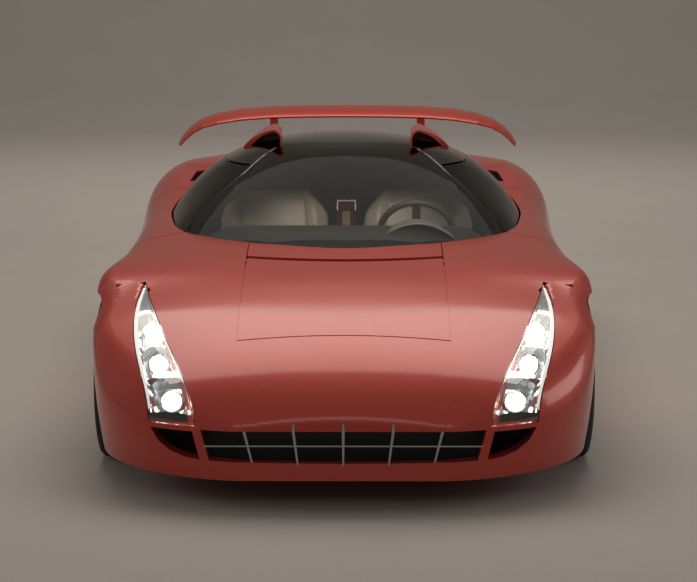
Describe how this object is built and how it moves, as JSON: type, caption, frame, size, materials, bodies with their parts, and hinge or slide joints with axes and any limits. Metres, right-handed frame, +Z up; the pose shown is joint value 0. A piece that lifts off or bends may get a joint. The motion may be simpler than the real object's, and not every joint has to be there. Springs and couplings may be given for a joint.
{
  "type": "mid-engined supercar",
  "caption": "Low two-seat sports car with a dark glass canopy, roof intakes, full-width rear wing, opening doors and lids and steered front wheels.",
  "frame": {"origin": "on the ground, midway between the sides and between nose and tail", "axes": "+X to the car's left as it drives, the driver's side here; -Y the way it drives; +Z up"},
  "size_m": [2.0222, 4.4, 1.1799],
  "materials": {
    "body_paint": "metallic red gloss",
    "canopy_black": "gloss black",
    "tinted_glass": "dark tint",
    "clear_lens": "clear polished",
    "lamp_silver": "bright reflector",
    "dark_plastic": "satin black",
    "bright_bar": "satin bright",
    "lamp_red": "red lens",
    "cast_metal": "cast",
    "tyre": "road rubber",
    "rim_alloy": "machined alloy",
    "trim_leather": "soft grey beige",
    "spine_red": "red gloss"
  },
  "bodies": {
    "chassis": {"front_clip": "body_paint", "cowl_panel": "body_paint", "grille_bars": "bright_bar", "nose_duct": "dark_plastic", "headlamp_left": "lamp_silver", "headlamp_right": "lamp_silver", "lamp_lens_left": "clear_lens", "lamp_lens_right": "clear_lens", "cabin_tub": "dark_plastic", "canopy_frame": "canopy_black", "windscreen": "tinted_glass", "sill_left": "body_paint", "sill_right": "body_paint", "rear_clip": "body_paint", "roof_scoop_left": "body_paint", "roof_scoop_right": "body_paint", "rear_wing": "body_paint", "tail_lamps": "lamp_red", "exhaust": "bright_bar", "engine_block": "cast_metal", "dashboard": "dark_plastic", "steering_wheel": "dark_plastic", "seat_left": "trim_leather", "seat_right": "trim_leather", "centre_spine": "spine_red", "front_arms_left": "cast_metal", "front_arms_right": "cast_metal", "rear_upright_left": "cast_metal", "rear_upright_right": "cast_metal"},
    "front_lid": {"front_lid": "body_paint"},
    "engine_cover": {"engine_cover": "body_paint"},
    "door_left": {"door_left": "body_paint", "door_glass_left": "tinted_glass"},
    "door_right": {"door_right": "body_paint", "door_glass_right": "tinted_glass"},
    "steering_left": {"knuckle_left": "cast_metal"},
    "steering_right": {"knuckle_right": "cast_metal"},
    "wheel_front_left": {"tyre_front_left": "tyre", "rim_front_left": "rim_alloy"},
    "wheel_front_right": {"tyre_front_right": "tyre", "rim_front_right": "rim_alloy"},
    "wheel_rear_left": {"tyre_rear_left": "tyre", "rim_rear_left": "rim_alloy"},
    "wheel_rear_right": {"tyre_rear_right": "tyre", "rim_rear_right": "rim_alloy"}
  },
  "joints": [
    {"name": "steer_left", "type": "hinge", "parent": "chassis", "child": "steering_left", "pos_m": [0.82, -1.27, 0.32], "axis": [0, 0, 1], "range_deg": [-30, 30]},
    {"name": "steer_right", "type": "hinge", "parent": "chassis", "child": "steering_right", "pos_m": [-0.82, -1.27, 0.32], "axis": [0, 0, 1], "range_deg": [-30, 30]},
    {"name": "door_left_hinge", "type": "hinge", "parent": "chassis", "child": "door_left", "pos_m": [0.93, -0.465, 0.475], "axis": [0, 0, -1], "range_deg": [0, 65]},
    {"name": "door_right_hinge", "type": "hinge", "parent": "chassis", "child": "door_right", "pos_m": [-0.93, -0.465, 0.475], "axis": [0, 0, 1], "range_deg": [0, 65]},
    {"name": "front_lid_hinge", "type": "hinge", "parent": "chassis", "child": "front_lid", "pos_m": [0, -1.035, 0.74], "axis": [-1, 0, 0], "range_deg": [0, 60]},
    {"name": "engine_cover_hinge", "type": "hinge", "parent": "chassis", "child": "engine_cover", "pos_m": [0, 0.695, 1.093], "axis": [1, 0, 0], "range_deg": [0, 60]},
    {"name": "roll_front_left", "type": "hinge", "parent": "steering_left", "child": "wheel_front_left", "pos_m": [0.86, -1.27, 0.32], "axis": [1, 0, 0], "continuous": true},
    {"name": "roll_rear_left", "type": "hinge", "parent": "chassis", "child": "wheel_rear_left", "pos_m": [0.84, 1.3, 0.335], "axis": [1, 0, 0], "continuous": true},
    {"name": "roll_front_right", "type": "hinge", "parent": "steering_right", "child": "wheel_front_right", "pos_m": [-0.86, -1.27, 0.32], "axis": [1, 0, 0], "continuous": true},
    {"name": "roll_rear_right", "type": "hinge", "parent": "chassis", "child": "wheel_rear_right", "pos_m": [-0.84, 1.3, 0.335], "axis": [1, 0, 0], "continuous": true}
  ],
  "couplings": [
    {"joint": "steer_right", "follows": "steer_left", "ratio": 1}
  ]
}
